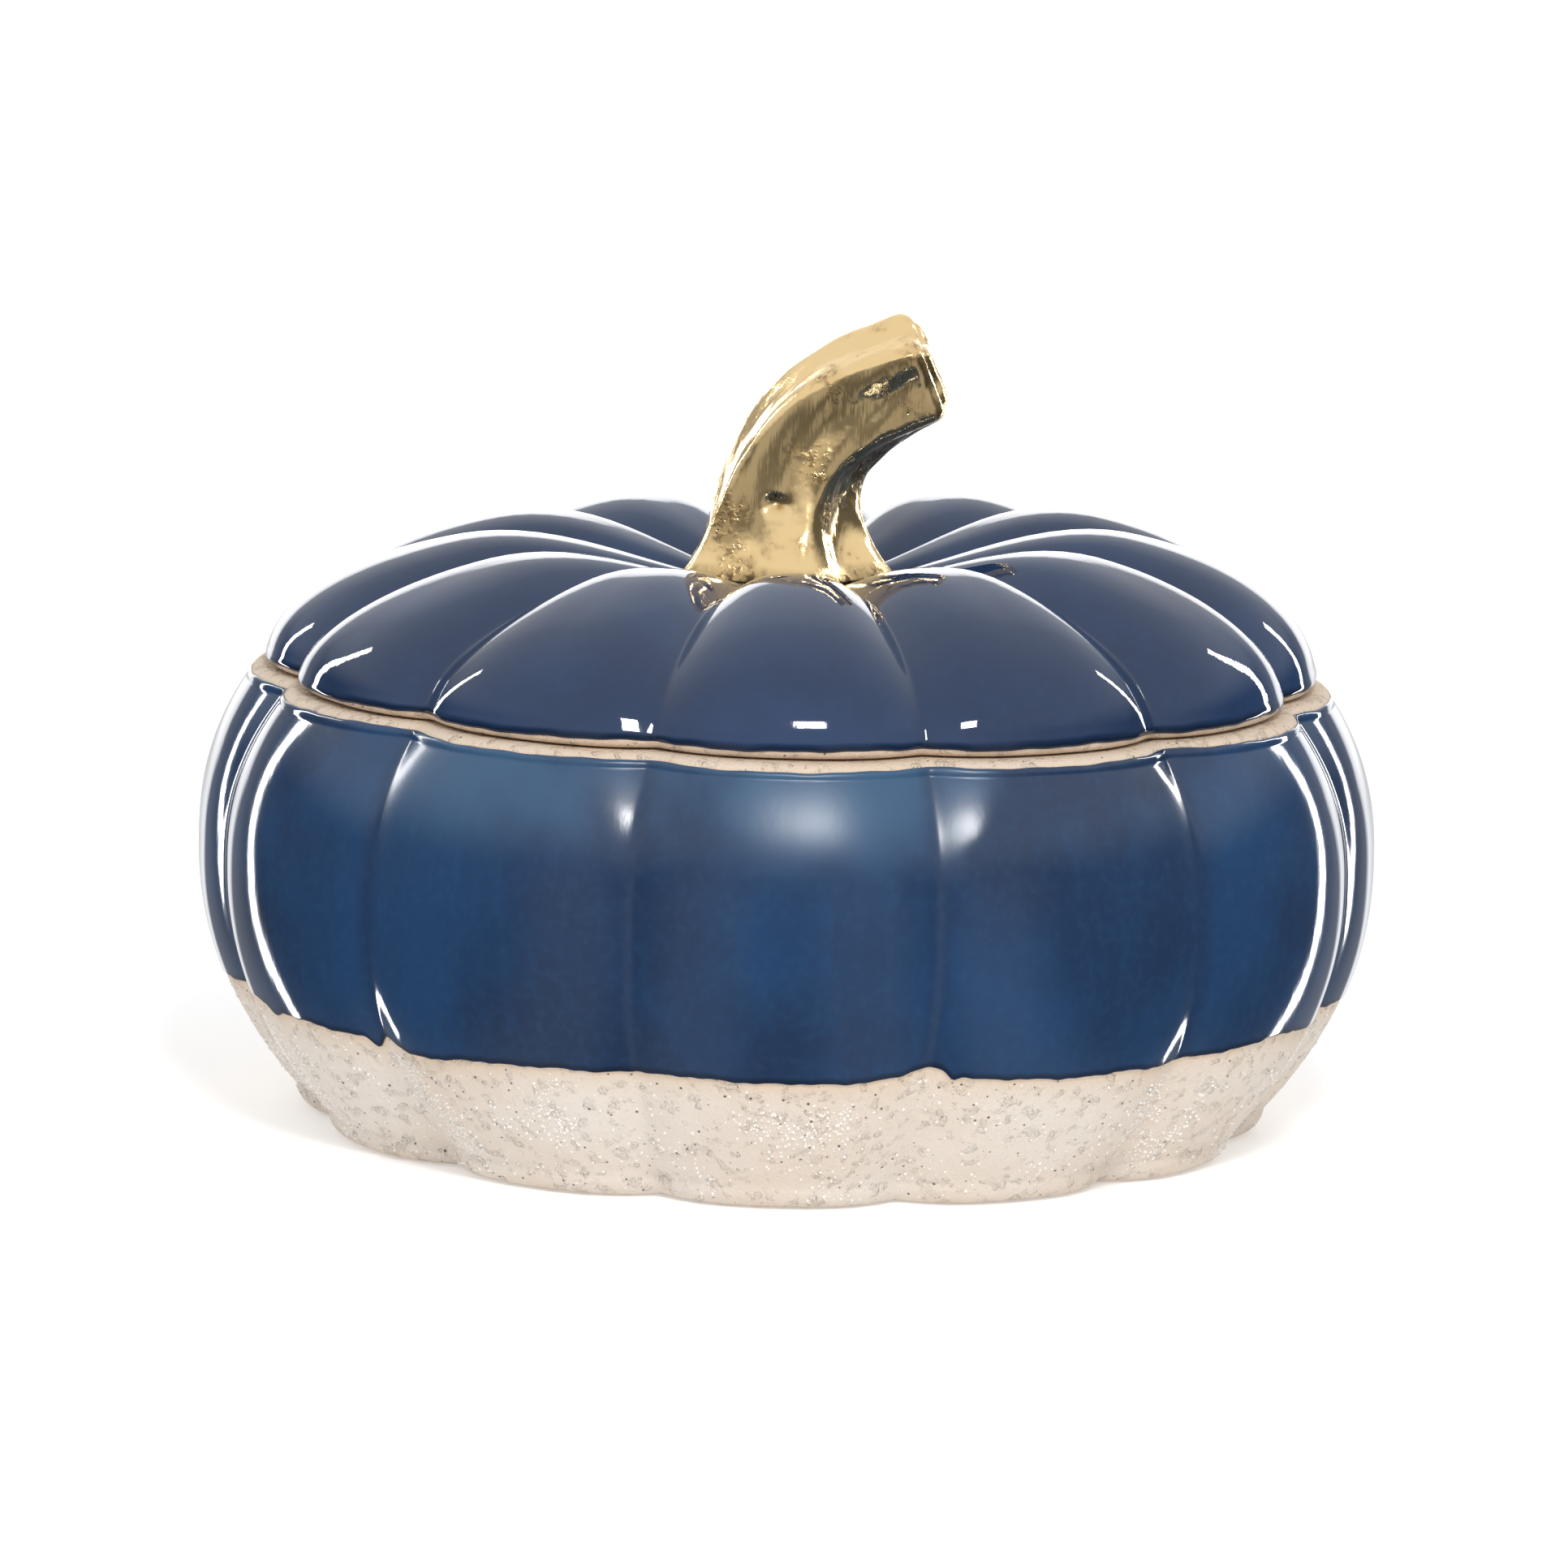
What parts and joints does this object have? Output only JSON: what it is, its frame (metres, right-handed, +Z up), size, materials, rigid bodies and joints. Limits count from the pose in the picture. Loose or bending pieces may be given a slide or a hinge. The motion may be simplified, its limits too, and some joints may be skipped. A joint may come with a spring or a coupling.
{
  "type": "lidded pumpkin dish",
  "caption": "Ribbed ceramic bowl shaped like a squat pumpkin, with a domed lid that lifts off by a curved stem knob.",
  "frame": {"origin": "centre of the plane that the foot stands on", "axes": "+Z up, the way the lid lifts; -Y is the front, a rib's crest; the stem bends towards +X"},
  "size_m": [0.1994, 0.1994, 0.1379],
  "materials": {
    "bowl_glaze": "glossy cobalt blue glaze, thin and paler where it breaks over the ribs",
    "lid_glaze": "glossy navy glaze",
    "bare_stoneware": "matt unglazed stoneware with white grit and brown specks",
    "gold_lustre": "fired gold lustre over glaze, mirror bright with small pits"
  },
  "bodies": {
    "bowl": {"bowl": "bowl_glaze"},
    "lid": {"lid": "lid_glaze", "stem": "gold_lustre"}
  },
  "joints": [
    {"name": "lid_lift", "type": "slide", "parent": "bowl", "child": "lid", "axis": [0, 0, 1], "range_m": [0, 0.08]}
  ]
}
